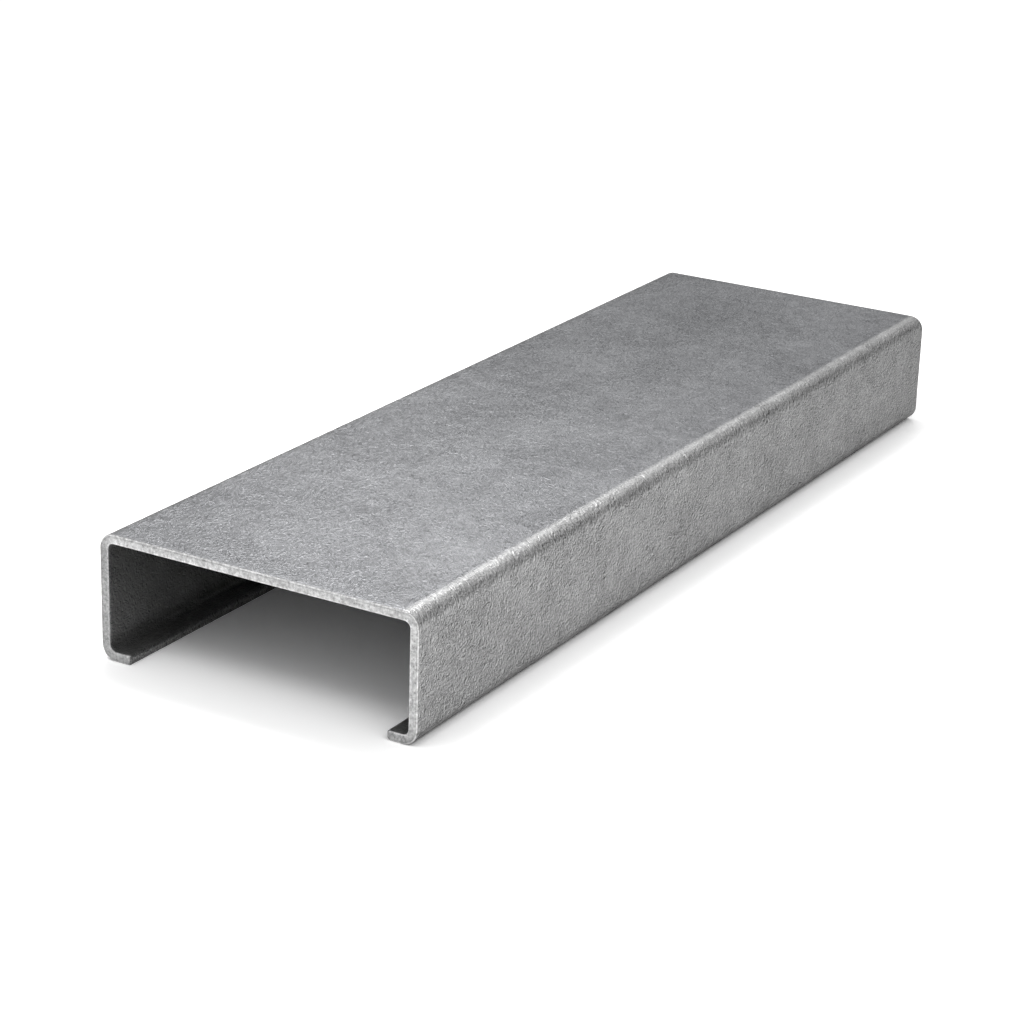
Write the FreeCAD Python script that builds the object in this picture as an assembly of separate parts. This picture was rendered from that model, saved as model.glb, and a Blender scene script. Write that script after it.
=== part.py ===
import FreeCAD, Part
import os

# A short length of cold-formed lipped channel: one strip of galvanised steel folded four times, into a web,
# two flanges and two lips that turn inwards. It lies web up, on the outer faces of its lips.
#
# Frame, in millimetres: X runs across the web, Y along the channel and Z up. The origin is on the floor,
# under the middle of the web and halfway along the channel.

# The section, by the sizes that such a channel is ordered by.
web_width = 110.0            # over the outer faces of the two flanges
flange_height = 40.0         # from the floor to the outer face of the web
lip_length = 10.0            # from a flange's outer face to the tip of its lip
strip_thickness = 3.0
inside_bend_radius = 2.0     # all four bends are alike
channel_length = 350.0

# The strip's two edges become the tips of the lips. The left one was slit and is square. The right one is
# the coil's own rolled edge, which is rounded, most of all on the face that the folding puts outside.
rolled_edge_outer_radius = 1.3
rolled_edge_inner_radius = 0.6

# What is taken off every edge of the section at the two cut ends, to clear the saw's burr.
end_edge_break = 0.3

# Places across the channel (X) and up (Z), worked out from the sizes above.
right_side = web_width / 2
left_side = -right_side
right_tip = right_side - lip_length
left_tip = left_side + lip_length
inner_right = right_side - strip_thickness
inner_left = left_side + strip_thickness
lip_top = strip_thickness
web_underside = flange_height - strip_thickness
near_end = -channel_length / 2
far_end = channel_length / 2

# The four bends, in order along the strip from the left lip to the right one: where its outer faces would
# meet if it were folded sharp, and where its inner faces would.
outer_bend_corners = [(left_side, 0), (left_side, flange_height), (right_side, flange_height), (right_side, 0)]
inner_bend_corners = [
    (inner_left, lip_top),
    (inner_left, web_underside),
    (inner_right, web_underside),
    (inner_right, lip_top),
]
outside_bend_radius = inside_bend_radius + strip_thickness    # both faces of a bend share one centre

same_point = 1e-4            # places nearer than this are the same


def sharp_channel():
    """The channel with its bends still sharp: the section's outline at the near end, run to the far end."""
    outline = (
        [(left_tip, 0)]
        + outer_bend_corners
        + [(right_tip, 0), (right_tip, lip_top)]
        + inner_bend_corners[::-1]
        + [(left_tip, lip_top)]
    )
    points = [FreeCAD.Vector(across, near_end, up) for across, up in outline]
    section = Part.Face(Part.makePolygon(points + points[:1]))
    return section.extrude(FreeCAD.Vector(0, channel_length, 0))


def edges_along(solid, corners):
    """The edges that run the channel's whole length through those corners of the section."""
    return [
        edge
        for edge in solid.Edges
        for across, up in corners
        if all(abs(v.X - across) < same_point and abs(v.Z - up) < same_point for v in edge.Vertexes)
    ]


def fold_bends(solid):
    """Gives the four bends their two radii."""
    solid = solid.makeFillet(outside_bend_radius, edges_along(solid, outer_bend_corners))
    return solid.makeFillet(inside_bend_radius, edges_along(solid, inner_bend_corners))


def round_rolled_edge(solid):
    """Rounds the two corners of the right lip's tip, each within its own half of the strip."""
    widest_round = strip_thickness / 2 - same_point
    outer_round = min(rolled_edge_outer_radius, widest_round)
    inner_round = min(rolled_edge_inner_radius, widest_round)
    solid = solid.makeFillet(outer_round, edges_along(solid, [(right_tip, 0)]))
    return solid.makeFillet(inner_round, edges_along(solid, [(right_tip, lip_top)]))


def break_end_edges(solid):
    """Takes the burr off the whole outline of the section at both cut ends."""
    end_edges = [
        edge
        for edge in solid.Edges
        for end in (near_end, far_end)
        if all(abs(v.Y - end) < same_point for v in edge.Vertexes)
    ]
    return solid.makeChamfer(end_edge_break, end_edges)


def lipped_channel():
    return break_end_edges(round_rolled_edge(fold_bends(sharp_channel())))


os.makedirs("parts", exist_ok=True)
channel = lipped_channel()
channel.exportStep("parts/lipped_channel.step")
print("lipped_channel: %.0f mm3, %d faces, valid %s" % (channel.Volume, len(channel.Faces), channel.isValid()))
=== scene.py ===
from math import cos, pi, radians, sin

import bmesh
import bpy
from bpy.props import FloatProperty, FloatVectorProperty, IntProperty, PointerProperty
from mathutils import Matrix, Vector, noise


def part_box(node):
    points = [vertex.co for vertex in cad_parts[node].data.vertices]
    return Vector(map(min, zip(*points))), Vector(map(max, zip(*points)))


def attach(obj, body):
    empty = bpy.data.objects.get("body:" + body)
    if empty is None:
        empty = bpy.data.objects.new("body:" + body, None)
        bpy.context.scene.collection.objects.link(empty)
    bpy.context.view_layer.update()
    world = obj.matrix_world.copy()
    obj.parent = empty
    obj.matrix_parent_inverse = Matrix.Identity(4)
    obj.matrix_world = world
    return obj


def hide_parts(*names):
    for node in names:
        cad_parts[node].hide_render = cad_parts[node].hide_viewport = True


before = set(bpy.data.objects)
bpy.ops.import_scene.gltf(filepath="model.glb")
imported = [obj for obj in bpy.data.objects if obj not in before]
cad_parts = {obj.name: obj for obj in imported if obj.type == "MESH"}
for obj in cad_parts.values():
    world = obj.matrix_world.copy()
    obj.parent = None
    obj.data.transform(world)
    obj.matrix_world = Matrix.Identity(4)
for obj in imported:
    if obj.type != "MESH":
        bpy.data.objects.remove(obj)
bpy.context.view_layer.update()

# A short length of lipped channel, folded from one galvanised strip. It lies web up on its two lips, with
# X across the web, Y along the channel and Z up, in metres. The operators below roll the strip's edge, fold
# it, give it its zinc coating and sawn ends, and light it on a plain white floor.

bl_info = {
    "name": "Lipped Steel Channel",
    "version": (1, 0, 0),
    "blender": (4, 5, 0),
    "location": "3D View > Sidebar > Channel",
    "description": "Folds a galvanised strip into a lipped channel and sets it on a white floor",
    "category": "Add Mesh",
}

CHANNEL_NODE = "lipped_channel"
node_low, node_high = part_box(CHANNEL_NODE)

MM = 0.001
SAME_PLACE = 0.001 * MM          # points nearer than this are the same

# The attribute that keeps where a point lay in the flat strip: across it, along it, and below its outer face.
STRIP_PLACE = "strip_place"

BENDS = 4                        # folds in the strip, all of them a quarter turn
FEWEST_FLAT_FACES = 3            # faces across the narrowest flat
ROLLED_EDGE_FACES = 4            # faces that each rounding of the rolled edge is made of
END_BREAK_FACES = 2              # faces that the broken edge of a cut end is made of
CORNER_ANGLE = radians(45)       # an edge that turns more than this is a corner
CUT_FACE_LEAN = 0.3              # a face whose normal has more than this along Y belongs to a cut end
RIPPLE_SPACING = 9 * MM          # from one dip of the zinc's slow unevenness to the next

PICTURE_SIDE = 1024              # the picture is square, and this many pixels wide
SENSOR_SIDE = 36.0               # millimetres
FLOOR_HALF_SIDE = 5.0
FLOOR_TONE = 0.9


class ChannelShape(bpy.types.PropertyGroup):
    """Sizes of the section and how finely it is meshed."""

    web_width: FloatProperty(
        name="Web Width", description="Over the outer faces of the two flanges",
        default=node_high[0] - node_low[0], unit="LENGTH", precision=4,
    )
    flange_height: FloatProperty(
        name="Flange Height", description="From the floor to the outer face of the web",
        default=node_high[2] - node_low[2], unit="LENGTH", precision=4,
    )
    channel_length: FloatProperty(
        name="Channel Length", description="From one cut end to the other",
        default=node_high[1] - node_low[1], unit="LENGTH", precision=4,
    )
    lip_length: FloatProperty(
        name="Lip Length", description="From a flange's outer face to the tip of its lip",
        default=10 * MM, unit="LENGTH", precision=4,
    )
    strip_thickness: FloatProperty(
        name="Strip Thickness", description="Thickness of the strip, zinc included",
        default=3 * MM, unit="LENGTH", precision=4,
    )
    inside_bend_radius: FloatProperty(
        name="Inside Bend Radius", description="Radius of the inner face of all four bends",
        default=2 * MM, unit="LENGTH", precision=4,
    )
    rolled_edge_outer_radius: FloatProperty(
        name="Rolled Edge, Outer", description="Rounding of the right lip's tip on its outer face",
        default=1.3 * MM, unit="LENGTH", precision=4,
    )
    rolled_edge_inner_radius: FloatProperty(
        name="Rolled Edge, Inner", description="Rounding of the right lip's tip on its inner face",
        default=0.6 * MM, unit="LENGTH", precision=4,
    )
    end_edge_break: FloatProperty(
        name="End Edge Break", description="Width taken off the edges of the two cut ends",
        default=0.3 * MM, unit="LENGTH", precision=4,
    )
    mesh_step: FloatProperty(
        name="Mesh Step", description="Side of a face on the flats",
        default=1.5 * MM, unit="LENGTH", precision=4,
    )
    bend_faces: IntProperty(
        name="Faces in a Bend", description="Faces that each quarter-turn bend is made of", default=10, min=3,
    )
    ripple_depth: FloatProperty(
        name="Ripple Depth", description="Depth of the slow unevenness of the zinc, cut into the mesh",
        default=0.03 * MM, unit="LENGTH", precision=5,
    )


class ChannelFinish(bpy.types.PropertyGroup):
    """Colours, gloss and grain of the zinc coating and of the sawn steel."""

    edge_tint: FloatVectorProperty(
        name="Zinc, Low Angle", description="How much of its shine the zinc keeps at a low angle",
        subtype="COLOR", default=(0.22, 0.22, 0.22),
    )
    zinc_colour: FloatVectorProperty(
        name="Zinc", description="Colour of the zinc coating", subtype="COLOR", default=(0.296, 0.296, 0.296),
    )
    # The web's own copy of the zinc colour, darker and faintly blue: painted shade and a painted sky tint.
    web_shade_and_sky_tint: FloatVectorProperty(
        name="Zinc, Web", description="Colour of the faintly blue zinc on the web",
        subtype="COLOR", default=(0.215, 0.217, 0.223),
    )
    # Rubbed zinc along the top right bend, made brighter still as a painted highlight.
    rubbed_highlight_colour: FloatVectorProperty(
        name="Zinc, Rubbed", description="Colour of the zinc rubbed bright along the top right bend",
        subtype="COLOR", default=(0.352, 0.352, 0.352),
    )
    zinc_roughness: FloatProperty(
        name="Zinc Roughness", description="Roughness of the zinc coating", default=0.42, min=0, max=1,
    )
    grain_strength: FloatProperty(
        name="Grain", description="How much the finest grain lightens and darkens the zinc",
        default=0.44, min=0,
    )
    crinkle_strength: FloatProperty(
        name="Crinkles", description="How much crinkles and dimples lighten and darken the zinc",
        default=0.4, min=0,
    )
    cloud_strength: FloatProperty(
        name="Clouds", description="How much the slow clouds of tone lighten and darken the zinc",
        default=0.45, min=0,
    )
    relief_depth: FloatProperty(
        name="Relief", description="Depth of the zinc's fine relief, which is not cut into the mesh",
        default=0.65 * MM, unit="LENGTH", precision=5,
    )
    steel_colour: FloatVectorProperty(
        name="Sawn Steel", description="Colour of the steel at the cut ends", subtype="COLOR",
        default=(0.462, 0.462, 0.462),
    )
    steel_roughness: FloatProperty(
        name="Sawn Steel Roughness", description="Roughness of the cut ends", default=0.55, min=0, max=1,
    )


class ChannelStudio(bpy.types.PropertyGroup):
    """Where the camera stands and how bright the studio is."""

    camera_place: FloatVectorProperty(
        name="Camera Place", description="Where the camera stands", subtype="XYZ", unit="LENGTH",
        default=(0.4225, -0.7601, 0.3284),
    )
    camera_turn: FloatProperty(
        name="Camera Turn", description="How far the camera looks to the left of the channel's length",
        subtype="ANGLE", default=radians(30.128),
    )
    camera_dip: FloatProperty(
        name="Camera Dip", description="How far the camera looks down", subtype="ANGLE",
        default=radians(20.477),
    )
    camera_roll: FloatProperty(
        name="Camera Roll", description="How far the camera leans to its left", subtype="ANGLE",
        default=radians(1.782),
    )
    focal_pixels: FloatProperty(
        name="Focal Length", description="Focal length, in pixels of the picture", default=2760.7,
    )
    back_power: FloatProperty(
        name="Back Softbox", description="Power of the lamp behind, which the top right bend mirrors",
        unit="POWER", default=3.0,
    )
    overhead_power: FloatProperty(
        name="Overhead Softbox", unit="POWER", default=0.44,
        description="Power of the lamp close above, which the near half of the web mirrors",
    )
    bend_power: FloatProperty(
        name="Bend Softbox", unit="POWER", default=0.17,
        description="Power of the lamp above, which the near half of the top right bend mirrors",
    )
    near_power: FloatProperty(
        name="Near Softbox", unit="POWER", default=0.5,
        description="Power of the small lamp above the near half, which brings out the grain",
    )
    front_power: FloatProperty(
        name="Front Softbox", description="Power of the lamp high in front", unit="POWER", default=4.5,
    )
    right_power: FloatProperty(
        name="Right Softbox", unit="POWER", default=1.15,
        description="Power of the lamp at the right, which softens the channel's shadow",
    )
    sky_strength: FloatProperty(
        name="Sky", description="Strength of the even light from all around", default=0.75, min=0,
    )
    floor_gain: FloatProperty(
        name="Floor Brightness", description="How much brighter the floor looks than it lights the channel",
        default=1.25, min=0,
    )


class Signal:
    """A shader socket on which Python's arithmetic adds Math nodes."""

    def __init__(self, nodes, socket):
        self.nodes = nodes
        self.socket = socket

    def math(self, operation, *values):
        return self.nodes.add("ShaderNodeMath", {"operation": operation}, dict(enumerate(values)))

    def __add__(self, other):
        return self.math("ADD", self, other)

    __radd__ = __add__

    def __mul__(self, other):
        return self.math("MULTIPLY", self, other)

    __rmul__ = __mul__

    def __sub__(self, other):
        return self.math("SUBTRACT", self, other)

    def __rsub__(self, other):
        return self.math("SUBTRACT", other, self)

    def __abs__(self):
        return self.math("ABSOLUTE", self)


class NodeBench:
    """Adds nodes to one node tree."""

    def __init__(self, tree):
        self.tree = tree
        tree.nodes.clear()

    def add(self, kind, settings=None, inputs=None, output=0):
        """A new node of that kind. Its settings are set first, then its sockets, by name or by number."""
        node = self.tree.nodes.new(kind)
        for name, value in (settings or {}).items():
            setattr(node, name, value)
        for key, value in (inputs or {}).items():
            if isinstance(value, Signal):
                self.tree.links.new(value.socket, node.inputs[key])
            else:
                node.inputs[key].default_value = value
        return Signal(self, node.outputs[output]) if node.outputs else None

    def noise(self, place, per_metre, detail=2.0, roughness=0.5, distortion=0.0):
        """Noise between 0 and 1 and mostly near 0.5, with that many features to the metre."""
        return self.add(
            "ShaderNodeTexNoise", {"noise_dimensions": "3D"},
            {"Vector": place, "Scale": per_metre, "Detail": detail, "Roughness": roughness,
             "Distortion": distortion},
        )

    def blend(self, share, first, second):
        """Mix of two colours, the second one by that share."""
        return self.add(
            "ShaderNodeMix", {"data_type": "RGBA"}, {0: share, 6: first, 7: second}, output=2,
        )

    def remap(self, value, low, high, new_low=0.0, new_high=1.0):
        """The value taken linearly from one range to another, and held inside it. Where low is the larger of
        the two, the result falls as the value rises."""
        return self.add(
            "ShaderNodeMapRange", {},
            {"Value": value, "From Min": low, "From Max": high, "To Min": new_low, "To Max": new_high},
        )

    def band(self, value, start, full, full_end, end):
        """1 where the value lies between the middle two places, fading to 0 at the outer two."""
        return self.remap(value, start, full) * self.remap(value, end, full_end)


def new_material(name):
    material = bpy.data.materials.new(name)
    material.use_nodes = True
    return material, NodeBench(material.node_tree)


def grey(nodes, tone):
    return nodes.add("ShaderNodeCombineXYZ", {}, {"X": tone, "Y": tone, "Z": tone})


def swing(unevenness, strength):
    """Noise, which is 0.5 on average, made a change about 0."""
    return (unevenness - 0.5) * strength


def vary(value, *marks):
    """The value after each mark: a mask, and the share that it adds to the value or, below 0, takes off."""
    for mask, share in marks:
        value = value * (1 + mask * share)
    return value


def strip_places(nodes):
    """Where a point lay in the flat strip, then how far across it that was, and how far below its face."""
    place = nodes.add("ShaderNodeAttribute", {"attribute_name": STRIP_PLACE}, output=1)
    across = nodes.add("ShaderNodeSeparateXYZ", {}, {"Vector": place}, output=0)
    depth = nodes.add("ShaderNodeSeparateXYZ", {}, {"Vector": place}, output=2)
    return place, across, depth


def lip_masks(nodes, fold, across):
    """1 on the left lip and 0 off it, then the same for the right lip. Each fades along its bend."""
    left_lip = nodes.remap(across, fold.bend_ends[0], fold.bend_starts[0])
    right_lip = nodes.remap(across, fold.bend_starts[3], fold.bend_ends[3])
    return left_lip, right_lip


def zinc_coating(finish, fold):
    """Matt zinc: crinkled and clouded all over with painted light and shade on its flecks, smoother inside
    and a little darker there as painted shade, darker and faintly blue on the web as painted shade and a
    painted sky tint, rubbed bright with a painted highlight along the top right bend with a shaded line below
    it, dusty on the lips' inner faces, darker at the left lip's slit edge as painted shade, and painted shade
    where the right bend meets the floor."""
    material, nodes = new_material("zinc_coating")
    place, across, depth = strip_places(nodes)

    wisps = nodes.noise(place, per_metre=900, detail=3, roughness=0.7, distortion=2.5)
    creases = abs(nodes.noise(place, per_metre=550, detail=1, distortion=1.5) - 0.5)
    crinkle = nodes.noise(place, per_metre=750, detail=2, roughness=0.55, distortion=1.8)
    dimples = nodes.noise(place, per_metre=150, detail=2, roughness=0.5, distortion=0.5)
    clouds = nodes.noise(place, per_metre=28, detail=4, roughness=0.55)

    # Noise less the same noise a little further on is pale on one side of each fleck and dark on the other:
    # painted light and shade, as if each fleck were lit from one side.
    step = (0.25 * MM, 0.3 * MM, 0)
    beside = nodes.add("ShaderNodeVectorMath", {"operation": "ADD"}, {0: place, 1: step})
    painted_emboss = (
        nodes.noise(place, per_metre=550, distortion=2.5)
        - nodes.noise(beside, per_metre=550, distortion=2.5)
    )

    # Where each part of the strip lies, from 0 to 1.
    web_start, web_end = fold.bend_ends[1], fold.bend_starts[2]
    on_web = nodes.band(across, web_start - 1.5 * MM, web_start, web_end, web_end + 1.5 * MM)
    # The faces within the hollow. Besides smoothing them, the tone below darkens them a little as painted
    # shade.
    inside = nodes.remap(depth, 0.5 * fold.thickness, 0.9 * fold.thickness)
    left_lip, right_lip = lip_masks(nodes, fold, across)
    # The left lip's slit edge. The tone below darkens it a little as painted shade.
    slit_edge = nodes.remap(across, 0.5 * MM, 0.1 * MM)

    # Where each mark on the zinc lies.
    top_bend, floor_bend = fold.bend_starts[2], fold.bend_starts[3]
    # Along the top right bend the zinc is rubbed brighter, and this band also carries a painted highlight.
    rubbed_highlight = nodes.band(
        across, top_bend - 0.9 * MM, top_bend + 0.7 * MM, top_bend + 1.5 * MM, top_bend + 3.3 * MM,
    )
    shaded = nodes.band(
        across, top_bend + 2.4 * MM, top_bend + 3.2 * MM, top_bend + 3.7 * MM, top_bend + 4.6 * MM,
    )
    # Painted shade on the outer face, where the right bend curves down to the floor.
    painted_contact_shade = nodes.remap(across, floor_bend + 1.8 * MM, floor_bend + 3.4 * MM) * (1 - inside)
    dust = inside * (left_lip + right_lip)

    # On the web the zinc takes a darker, faintly blue copy of its colour: painted shade and a painted sky
    # tint.
    zinc = nodes.blend(on_web, (*finish.zinc_colour, 1), (*finish.web_shade_and_sky_tint, 1))
    zinc = nodes.blend(rubbed_highlight, zinc, (*finish.rubbed_highlight_colour, 1))
    grain = nodes.remap(wisps, 0.3, 0.7, -finish.grain_strength, finish.grain_strength)
    # The flecks' painted light and shade join the grain here.
    grain = vary(grain, (on_web, -0.16)) + painted_emboss * (2.7 - on_web * 2.0)
    grain = vary(grain, (rubbed_highlight, -0.5), (inside, -0.3))
    tone = 1 + grain + swing(crinkle, finish.crinkle_strength) + swing(dimples, finish.crinkle_strength)
    tone = tone + swing(clouds, finish.cloud_strength)
    tone = vary(tone, (shaded, -0.2), (painted_contact_shade, -0.8), (slit_edge, -0.1), (inside, -0.08), (dust, 0.15))
    colour = nodes.add("ShaderNodeVectorMath", {"operation": "MULTIPLY"}, {0: zinc, 1: grey(nodes, tone)})

    roughness = finish.zinc_roughness + swing(clouds, 0.1) + swing(crinkle, 0.2) + dust * 0.05
    relief = vary(wisps * 0.15 + creases * 0.9 + dimples * 0.3, (inside, -0.75), (on_web, -0.1))
    normal = nodes.add(
        "ShaderNodeBump", {}, {"Strength": 1.0, "Distance": finish.relief_depth, "Height": relief},
    )
    surface = nodes.add(
        "ShaderNodeBsdfPrincipled", {},
        {"Base Color": colour, "Metallic": 1.0, "Roughness": roughness, "Normal": normal,
         "Specular Tint": (*finish.edge_tint, 1)},
    )
    nodes.add("ShaderNodeOutputMaterial", {}, {"Surface": surface})
    return material


def sawn_steel(finish, fold):
    """Bare steel as the saw left it: pale and granular, brighter along its two edges as painted highlights,
    with short strokes.
    """
    material, nodes = new_material("sawn_steel")
    place, across, depth = strip_places(nodes)

    specks = nodes.noise(place, per_metre=1300, detail=3, roughness=0.75)
    drawn_out = nodes.add(
        "ShaderNodeVectorMath", {"operation": "MULTIPLY"}, {0: place, 1: (1.0, 1.0, 0.4)},
    )
    strokes = nodes.noise(drawn_out, per_metre=700, detail=2, roughness=0.6, distortion=1.2)
    blotches = nodes.noise(place, per_metre=160, detail=2)

    # Bands through the strip's thickness, from its outer face inwards. The two rims are painted highlights.
    # The outermost tenth of a millimetre of the cut end is darker.
    darker_outer_edge = nodes.remap(depth, 0.12 * MM, 0.02 * MM)
    outer_rim_highlight = nodes.band(depth, 0.05 * MM, 0.15 * MM, 0.3 * MM, 0.5 * MM)
    outer_line = nodes.band(depth, 0.45 * MM, 0.6 * MM, 0.75 * MM, 0.95 * MM)
    inner_rim_highlight = nodes.remap(depth, fold.thickness - 0.6 * MM, fold.thickness - 0.35 * MM)

    # The left lip counts as part of the left leg.
    left_leg = nodes.remap(across, fold.bend_ends[1], fold.bend_starts[1])
    left_lip, right_lip = lip_masks(nodes, fold, across)

    tone = 1 + swing(specks, 2.6) + swing(strokes, 0.45) + swing(blotches, 0.35)
    tone = vary(tone, (outer_rim_highlight, 0.25), (inner_rim_highlight, 0.3), (outer_line, -0.2), (darker_outer_edge, -0.6))
    tone = vary(tone, (left_leg, -0.37), (left_lip, 0.13), (right_lip, -0.2))
    colour = nodes.add(
        "ShaderNodeVectorMath", {"operation": "MULTIPLY"}, {0: finish.steel_colour, 1: grey(nodes, tone)},
    )

    roughness = finish.steel_roughness + swing(specks, 0.3)
    relief = specks * 0.6 + strokes * 0.4
    normal = nodes.add("ShaderNodeBump", {}, {"Strength": 0.7, "Distance": 0.12 * MM, "Height": relief})
    surface = nodes.add(
        "ShaderNodeBsdfPrincipled", {},
        {"Base Color": colour, "Metallic": 1.0, "Roughness": roughness, "Normal": normal},
    )
    nodes.add("ShaderNodeOutputMaterial", {}, {"Surface": surface})
    return material


class StripFold:
    """Takes a point of the flat strip to its place in the folded section."""

    def __init__(self, shape):
        self.thickness = shape.strip_thickness
        self.outside_radius = shape.inside_bend_radius + shape.strip_thickness
        lip_flat = shape.lip_length - self.outside_radius
        flange_flat = shape.flange_height - 2 * self.outside_radius
        web_flat = shape.web_width - 2 * self.outside_radius
        self.flats = [lip_flat, flange_flat, web_flat, flange_flat, lip_flat]
        self.bend_length = pi / 2 * (shape.inside_bend_radius + self.thickness / 2)
        self.start = Vector((shape.lip_length - shape.web_width / 2, 0))
        self.width = sum(self.flats) + BENDS * self.bend_length
        self.bend_starts = [sum(self.flats[:k + 1]) + k * self.bend_length for k in range(BENDS)]
        self.bend_ends = [start + self.bend_length for start in self.bend_starts]

    def columns(self, flat_step, bend_faces):
        """Places across the flat strip where the mesh has a line of edges, the bends' ends among them."""
        places = [0.0]
        for number, flat in enumerate(self.flats):
            faces = max(FEWEST_FLAT_FACES, round(flat / flat_step))
            first = places[-1]
            places += [first + flat * k / faces for k in range(1, faces + 1)]
            if number < BENDS:
                first = places[-1]
                places += [first + self.bend_length * k / bend_faces for k in range(1, bend_faces + 1)]
        return places

    def place(self, across, along, depth):
        """The folded place of the point that far across the strip, along it, and below its outer face."""
        corner, heading, rest = self.start, Vector((-1, 0)), across
        for number, flat in enumerate(self.flats):
            inward = Vector((heading.y, -heading.x))
            if rest <= flat or number == BENDS:
                point = corner + heading * rest + inward * depth
                return Vector((point.x, along, point.y))
            corner, rest = corner + heading * flat, rest - flat
            turn = min(rest / self.bend_length, 1) * pi / 2
            centre = corner + inward * self.outside_radius
            if rest <= self.bend_length:
                radius = self.outside_radius - depth
                point = centre + radius * (heading * sin(turn) - inward * cos(turn))
                return Vector((point.x, along, point.y))
            corner, rest = centre + heading * self.outside_radius, rest - self.bend_length
            heading = inward


def flat_blank(shape, fold):
    """The strip before folding: its outer face on the plane Z = 0, and its thickness above that plane."""
    columns = fold.columns(shape.mesh_step, shape.bend_faces)
    rows = round(shape.channel_length / shape.mesh_step)
    blank = bmesh.new()
    bmesh.ops.create_grid(blank, x_segments=len(columns) - 1, y_segments=rows, size=0.5)
    for vert in blank.verts:
        vert.co.x = columns[round((vert.co.x + 0.5) * (len(columns) - 1))]
        vert.co.y *= shape.channel_length
    raised = bmesh.ops.extrude_face_region(blank, geom=blank.faces[:])
    top = [part for part in raised["geom"] if isinstance(part, bmesh.types.BMVert)]
    bmesh.ops.translate(blank, vec=(0, 0, shape.strip_thickness), verts=top)
    bmesh.ops.recalc_face_normals(blank, faces=blank.faces[:])
    return blank


def edges_where(mesh, test):
    return [edge for edge in mesh.edges if all(test(vert.co) for vert in edge.verts)]


def bevel(mesh, edges, width, segments):
    bmesh.ops.bevel(
        mesh, geom=edges, offset=width, offset_type="OFFSET", segments=segments, profile=0.5,
        affect="EDGES", material=-1, clamp_overlap=True,
    )


def fold_channel(shape):
    """Rolls the strip's right edge, breaks the edges of its ends, folds it, and makes its faces ripple."""
    fold = StripFold(shape)
    mesh = flat_blank(shape, fold)
    rolled_edges = (0.0, shape.rolled_edge_outer_radius), (fold.thickness, shape.rolled_edge_inner_radius)
    for depth, radius in rolled_edges:
        edge_line = edges_where(
            mesh, lambda co: abs(co.x - fold.width) < SAME_PLACE and abs(co.z - depth) < SAME_PLACE,
        )
        bevel(mesh, edge_line, radius, ROLLED_EDGE_FACES)

    at_an_end = edges_where(mesh, lambda co: abs(abs(co.y) - shape.channel_length / 2) < SAME_PLACE)
    end_outline = [edge for edge in at_an_end if edge.calc_face_angle(0) > CORNER_ANGLE]
    bevel(mesh, end_outline, shape.end_edge_break, END_BREAK_FACES)

    mesh.normal_update()
    for face in mesh.faces:
        face.material_index = int(abs(face.normal.y) > CUT_FACE_LEAN)
        face.smooth = True

    layer = mesh.verts.layers.float_vector.new(STRIP_PLACE)
    for vert in mesh.verts:
        vert[layer] = vert.co
    for vert in mesh.verts:
        vert.co = fold.place(*vert[layer])
    if mesh.calc_volume(signed=True) < 0:
        bmesh.ops.reverse_faces(mesh, faces=mesh.faces[:])
    mesh.normal_update()
    falloff, octave_ratio, octaves = 0.8, 2.0, 3
    for vert in mesh.verts:
        dip = noise.fractal(Vector(vert[layer]) / RIPPLE_SPACING, falloff, octave_ratio, octaves)
        vert.co -= vert.normal * shape.ripple_depth * min(max(0.5 + dip, 0), 1)
    mesh.normal_update()
    return mesh


class CHANNEL_OT_fold(bpy.types.Operator):
    """Fold the galvanised strip into the channel"""

    bl_idname = "channel.fold"
    bl_label = "Fold Channel"
    bl_options = {"REGISTER", "UNDO"}

    def execute(self, context):
        shape, finish = context.scene.channel_shape, context.scene.channel_finish
        data = bpy.data.meshes.new("galvanised_channel")
        mesh = fold_channel(shape)
        mesh.to_mesh(data)
        mesh.free()
        fold = StripFold(shape)
        data.materials.append(zinc_coating(finish, fold))
        data.materials.append(sawn_steel(finish, fold))
        channel = bpy.data.objects.new("galvanised_channel", data)
        context.collection.objects.link(channel)
        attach(channel, "root")
        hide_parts(CHANNEL_NODE)
        return {"FINISHED"}


def seen_ray(nodes):
    """1 for a ray that ends in the picture: straight from the camera, mirrored, or through glass."""
    outputs = nodes.add("ShaderNodeLightPath").socket.node.outputs
    ways = ("Is Camera Ray", "Is Glossy Ray", "Is Transmission Ray")
    camera, mirrored, through = (Signal(nodes, outputs[way]) for way in ways)
    return nodes.add(
        "ShaderNodeMath", {"operation": "ADD", "use_clamp": True}, {0: camera + mirrored, 1: through},
    )


def white_floor(studio):
    """A plain white floor that keeps the channel's shadow."""
    material, nodes = new_material("white_floor")
    brighter = FLOOR_TONE * studio.floor_gain
    tone = FLOOR_TONE + seen_ray(nodes) * (brighter - FLOOR_TONE)
    surface = nodes.add("ShaderNodeBsdfDiffuse", {}, {"Color": grey(nodes, tone)})
    nodes.add("ShaderNodeOutputMaterial", {}, {"Surface": surface})
    return material


def studio_world(scene):
    world = bpy.data.worlds.new("white_studio")
    world.use_nodes = True
    scene.world = world
    nodes = NodeBench(world.node_tree)
    sky = scene.channel_studio.sky_strength
    plain = nodes.add("ShaderNodeBackground", {}, {"Color": (1, 1, 1, 1), "Strength": sky})
    white = nodes.add("ShaderNodeBackground", {}, {"Color": (1, 1, 1, 1), "Strength": 1.0})
    mixed = nodes.add("ShaderNodeMixShader", {}, {0: seen_ray(nodes), 1: plain, 2: white})
    nodes.add("ShaderNodeOutputWorld", {}, {"Surface": mixed})


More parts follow.
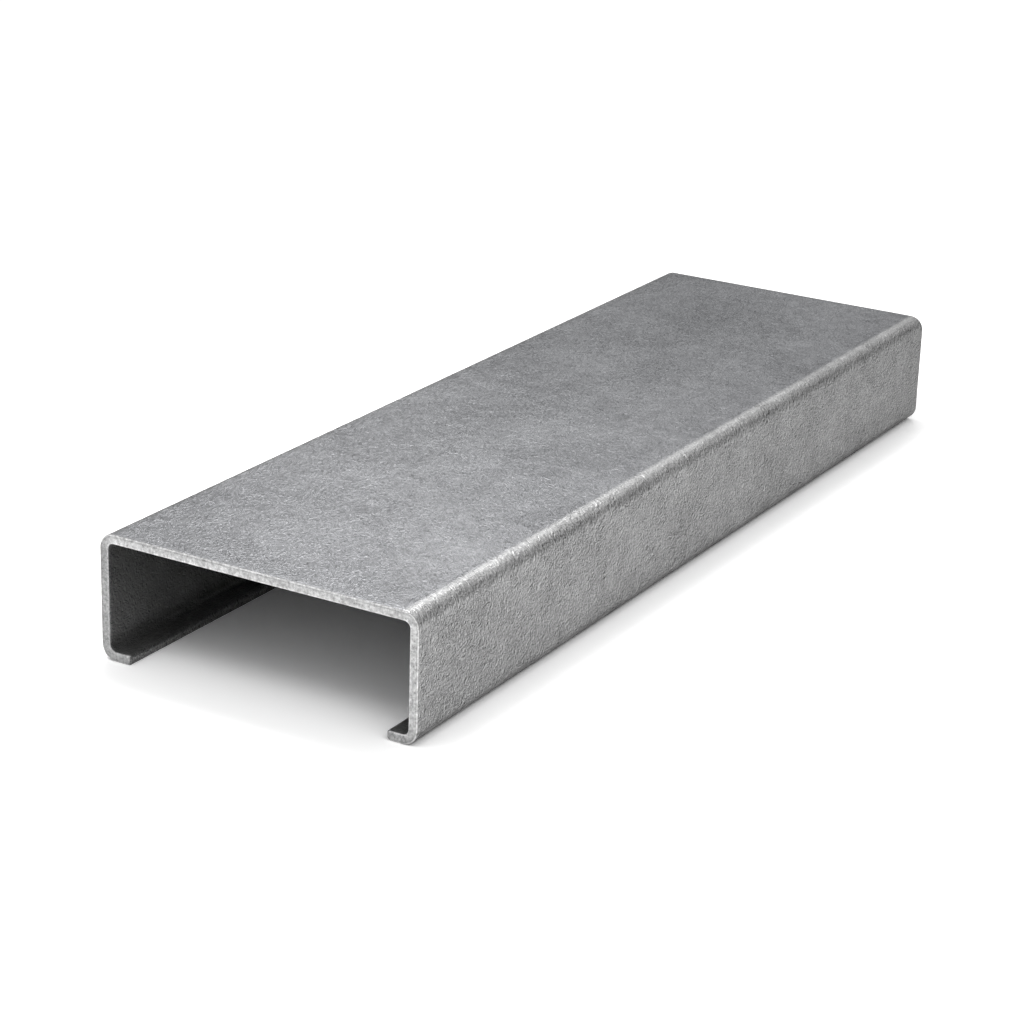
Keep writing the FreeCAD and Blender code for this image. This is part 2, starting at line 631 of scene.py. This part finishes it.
def add_softbox(context, name, power, place, width, depth):
    """A soft lamp at that place, facing the channel."""
    lamp = bpy.data.lights.new(name, "AREA")
    lamp.shape = "RECTANGLE"
    lamp.size = width
    lamp.size_y = depth
    lamp.energy = power
    softbox = bpy.data.objects.new(name, lamp)
    softbox.location = place
    softbox.rotation_euler = (-Vector(place)).to_track_quat("-Z", "Y").to_euler()
    softbox.visible_camera = False
    context.collection.objects.link(softbox)


class CHANNEL_OT_stage(bpy.types.Operator):
    """Set the channel on a white floor, under soft light, in front of the camera"""

    bl_idname = "channel.stage"
    bl_label = "Set Stage"
    bl_options = {"REGISTER", "UNDO"}

    def execute(self, context):
        scene = context.scene
        studio = scene.channel_studio
        scene.view_settings.view_transform = "Standard"

        floor_mesh = bmesh.new()
        bmesh.ops.create_grid(floor_mesh, x_segments=1, y_segments=1, size=FLOOR_HALF_SIDE)
        data = bpy.data.meshes.new("white_floor")
        floor_mesh.to_mesh(data)
        floor_mesh.free()
        data.materials.append(white_floor(studio))
        floor = bpy.data.objects.new("white_floor", data)
        context.collection.objects.link(floor)

        studio_world(scene)
        for name, power, place, width, depth in (
            ("back_softbox", studio.back_power, (-0.30, 1.15, 1.00), 0.5, 0.35),
            ("overhead_softbox", studio.overhead_power, (-0.12, 0.03, 0.29), 0.25, 0.2),
            ("near_softbox", studio.near_power, (-0.04, -0.05, 0.32), 0.08, 0.08),
            ("bend_softbox", studio.bend_power, (-0.06, 0.22, 0.39), 0.25, 0.2),
            ("front_softbox", studio.front_power, (-0.20, -0.74, 1.35), 0.9, 0.5),
            ("right_softbox", studio.right_power, (0.50, -0.35, 0.50), 0.4, 0.3),
        ):
            add_softbox(context, name, power, place, width, depth)

        lens = bpy.data.cameras.new("camera")
        lens.sensor_width = SENSOR_SIDE
        lens.lens = studio.focal_pixels * SENSOR_SIDE / PICTURE_SIDE
        lens.clip_start = 0.01
        camera = bpy.data.objects.new("camera", lens)
        camera.matrix_world = (
            Matrix.Translation(studio.camera_place)
            @ Matrix.Rotation(studio.camera_turn, 4, "Z")
            @ Matrix.Rotation(pi / 2 - studio.camera_dip, 4, "X")
            @ Matrix.Rotation(studio.camera_roll, 4, "Z")
        )
        context.collection.objects.link(camera)
        scene.camera = camera
        return {"FINISHED"}


class CHANNEL_PT_panel(bpy.types.Panel):
    """The channel's sizes, finish and stage"""

    bl_idname = "CHANNEL_PT_panel"
    bl_label = "Lipped Steel Channel"
    bl_space_type = "VIEW_3D"
    bl_region_type = "UI"
    bl_category = "Channel"

    def draw(self, context):
        layout = self.layout
        for title, operator, groups in (
            ("Channel", "channel.fold", (context.scene.channel_shape, context.scene.channel_finish)),
            ("Stage", "channel.stage", (context.scene.channel_studio,)),
        ):
            box = layout.box()
            box.label(text=title)
            for group in groups:
                for name in group.__annotations__:
                    box.prop(group, name)
            box.operator(operator)


CLASSES = (
    ChannelShape, ChannelFinish, ChannelStudio, CHANNEL_OT_fold, CHANNEL_OT_stage, CHANNEL_PT_panel,
)


def register():
    for cls in CLASSES:
        bpy.utils.register_class(cls)
    bpy.types.Scene.channel_shape = PointerProperty(type=ChannelShape)
    bpy.types.Scene.channel_finish = PointerProperty(type=ChannelFinish)
    bpy.types.Scene.channel_studio = PointerProperty(type=ChannelStudio)


def unregister():
    del bpy.types.Scene.channel_studio
    del bpy.types.Scene.channel_finish
    del bpy.types.Scene.channel_shape
    for cls in reversed(CLASSES):
        bpy.utils.unregister_class(cls)


def main():
    register()
    bpy.ops.channel.fold()
    bpy.ops.channel.stage()


if __name__ == "__main__":
    main()
